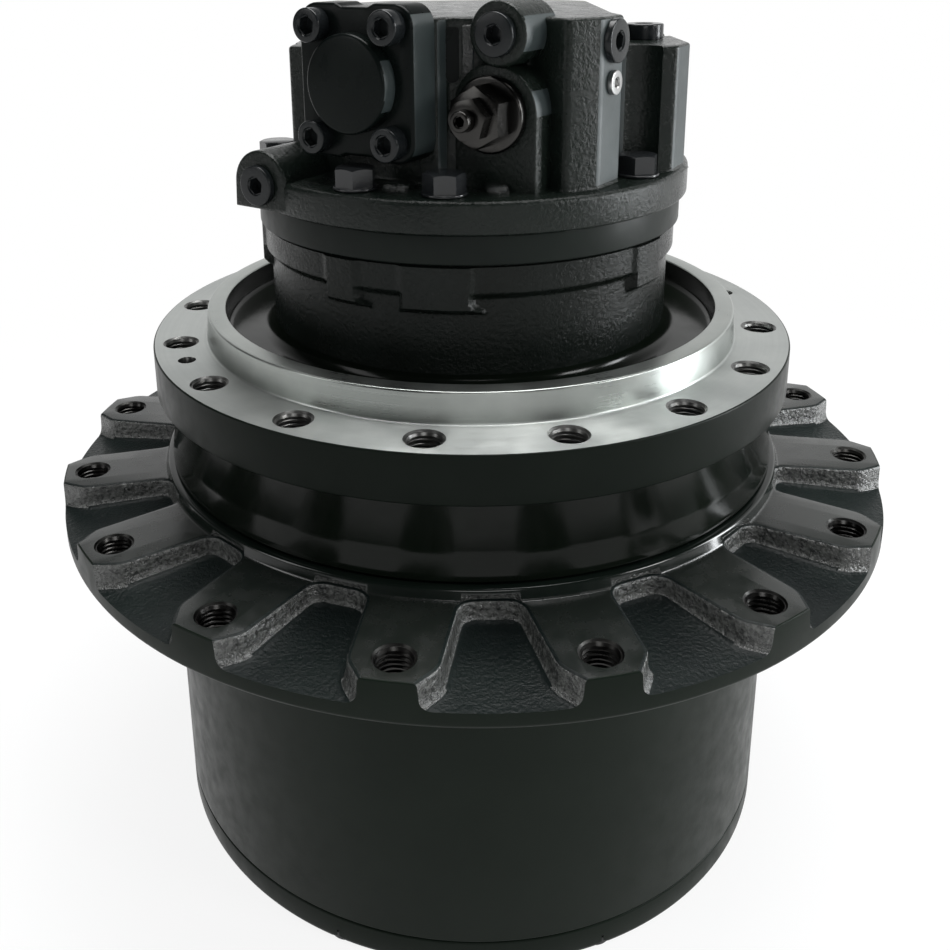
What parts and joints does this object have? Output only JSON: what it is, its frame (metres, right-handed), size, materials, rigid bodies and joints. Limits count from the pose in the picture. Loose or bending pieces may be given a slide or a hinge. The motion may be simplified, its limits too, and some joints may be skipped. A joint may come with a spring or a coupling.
{
  "type": "excavator final drive",
  "caption": "Excavator final drive with a black sprocket-flange hub, machined frame flange and a hydraulic travel motor with its valve cover on top.",
  "frame": {"origin": "on the turning axis, at the outside face of the end cover", "axes": "+Z along the turning axis from the end cover towards the motor; -Y is the side that the picture shows, +X its right"},
  "size_m": [0.521, 0.521, 0.5233],
  "materials": {
    "black_paint": "satin black paint over the castings",
    "machined_steel": "machined",
    "dark_steel": "blackened steel",
    "gear_steel": "ground",
    "bronze": "machined",
    "seal_iron": "lapped"
  },
  "bodies": {
    "frame": {"spindle_housing": "black_paint", "valve_cover": "black_paint", "counterbalance_cap": "black_paint", "cap_screw_1": "dark_steel", "cap_screw_2": "dark_steel", "cap_screw_3": "dark_steel", "cap_screw_4": "dark_steel", "relief_cartridge": "dark_steel", "relief_locknut": "machined_steel", "relief_adjuster": "machined_steel", "flange_bolt_1": "dark_steel", "flange_bolt_2": "dark_steel", "flange_bolt_3": "dark_steel", "flange_bolt_4": "dark_steel", "flange_bolt_5": "dark_steel", "flange_bolt_6": "dark_steel", "flange_bolt_7": "dark_steel", "flange_bolt_8": "dark_steel", "front_plug": "dark_steel", "lug_plug": "dark_steel", "side_plug": "dark_steel", "rear_block_plug": "dark_steel", "orifice_plug": "dark_steel", "stage2_carrier": "machined_steel", "bearing_nut": "machined_steel", "bearing_a_inner": "gear_steel", "bearing_b_inner": "gear_steel", "fixed_seal_ring": "seal_iron", "swash_plate": "gear_steel", "valve_plate": "bronze", "brake_piston": "machined_steel"},
    "hub": {"hub_housing": "black_paint", "ring_gear": "gear_steel", "end_cover": "black_paint", "drain_plug": "dark_steel", "level_plug": "dark_steel", "bearing_a_outer": "gear_steel", "bearing_b_outer": "gear_steel", "hub_seal_ring": "seal_iron", "cover_bolt_1": "dark_steel", "cover_bolt_2": "dark_steel", "cover_bolt_3": "dark_steel", "cover_bolt_4": "dark_steel", "cover_bolt_5": "dark_steel", "cover_bolt_6": "dark_steel", "cover_bolt_7": "dark_steel", "cover_bolt_8": "dark_steel"},
    "intermediate": {"stage1_carrier": "machined_steel", "stage2_sun": "gear_steel"},
    "rotor": {"drive_shaft": "machined_steel", "stage1_sun": "gear_steel", "cylinder_block": "gear_steel"},
    "planet1_1": {"stage1_planet_1": "gear_steel"},
    "planet2_1": {"stage2_planet_1": "gear_steel"},
    "planet1_2": {"stage1_planet_2": "gear_steel"},
    "planet2_2": {"stage2_planet_2": "gear_steel"},
    "planet1_3": {"stage1_planet_3": "gear_steel"},
    "planet2_3": {"stage2_planet_3": "gear_steel"}
  },
  "joints": [
    {"name": "hub_turn", "type": "hinge", "parent": "frame", "child": "hub", "pos_m": [0, 0, 0.1], "axis": [0, 0, 1], "continuous": true},
    {"name": "intermediate_turn", "type": "hinge", "parent": "frame", "child": "intermediate", "pos_m": [0, 0, 0.078], "axis": [0, 0, 1], "continuous": true},
    {"name": "motor_turn", "type": "hinge", "parent": "frame", "child": "rotor", "pos_m": [0, 0, 0.2], "axis": [0, 0, 1], "continuous": true},
    {"name": "planet1_1_turn", "type": "hinge", "parent": "intermediate", "child": "planet1_1", "pos_m": [-0.00495, 0.09437, 0.056], "axis": [0, 0, 1], "continuous": true},
    {"name": "planet2_1_turn", "type": "hinge", "parent": "frame", "child": "planet2_1", "pos_m": [0.08866, 0.05119, 0.112], "axis": [0, 0, 1], "continuous": true},
    {"name": "planet1_2_turn", "type": "hinge", "parent": "intermediate", "child": "planet1_2", "pos_m": [-0.07925, -0.05147, 0.056], "axis": [0, 0, 1], "continuous": true},
    {"name": "planet2_2_turn", "type": "hinge", "parent": "frame", "child": "planet2_2", "pos_m": [-0.08866, 0.05119, 0.112], "axis": [0, 0, 1], "continuous": true},
    {"name": "planet1_3_turn", "type": "hinge", "parent": "intermediate", "child": "planet1_3", "pos_m": [0.0842, -0.0429, 0.056], "axis": [0, 0, 1], "continuous": true},
    {"name": "planet2_3_turn", "type": "hinge", "parent": "frame", "child": "planet2_3", "pos_m": [0, -0.10237, 0.112], "axis": [0, 0, 1], "continuous": true}
  ],
  "couplings": [
    {"joint": "intermediate_turn", "follows": "hub_turn", "ratio": -3.3333},
    {"joint": "motor_turn", "follows": "hub_turn", "ratio": -25},
    {"joint": "planet2_1_turn", "follows": "hub_turn", "ratio": 2.8571},
    {"joint": "planet1_1_turn", "follows": "hub_turn", "ratio": 10.833},
    {"joint": "planet2_2_turn", "follows": "hub_turn", "ratio": 2.8571},
    {"joint": "planet1_2_turn", "follows": "hub_turn", "ratio": 10.833},
    {"joint": "planet2_3_turn", "follows": "hub_turn", "ratio": 2.8571},
    {"joint": "planet1_3_turn", "follows": "hub_turn", "ratio": 10.833}
  ]
}
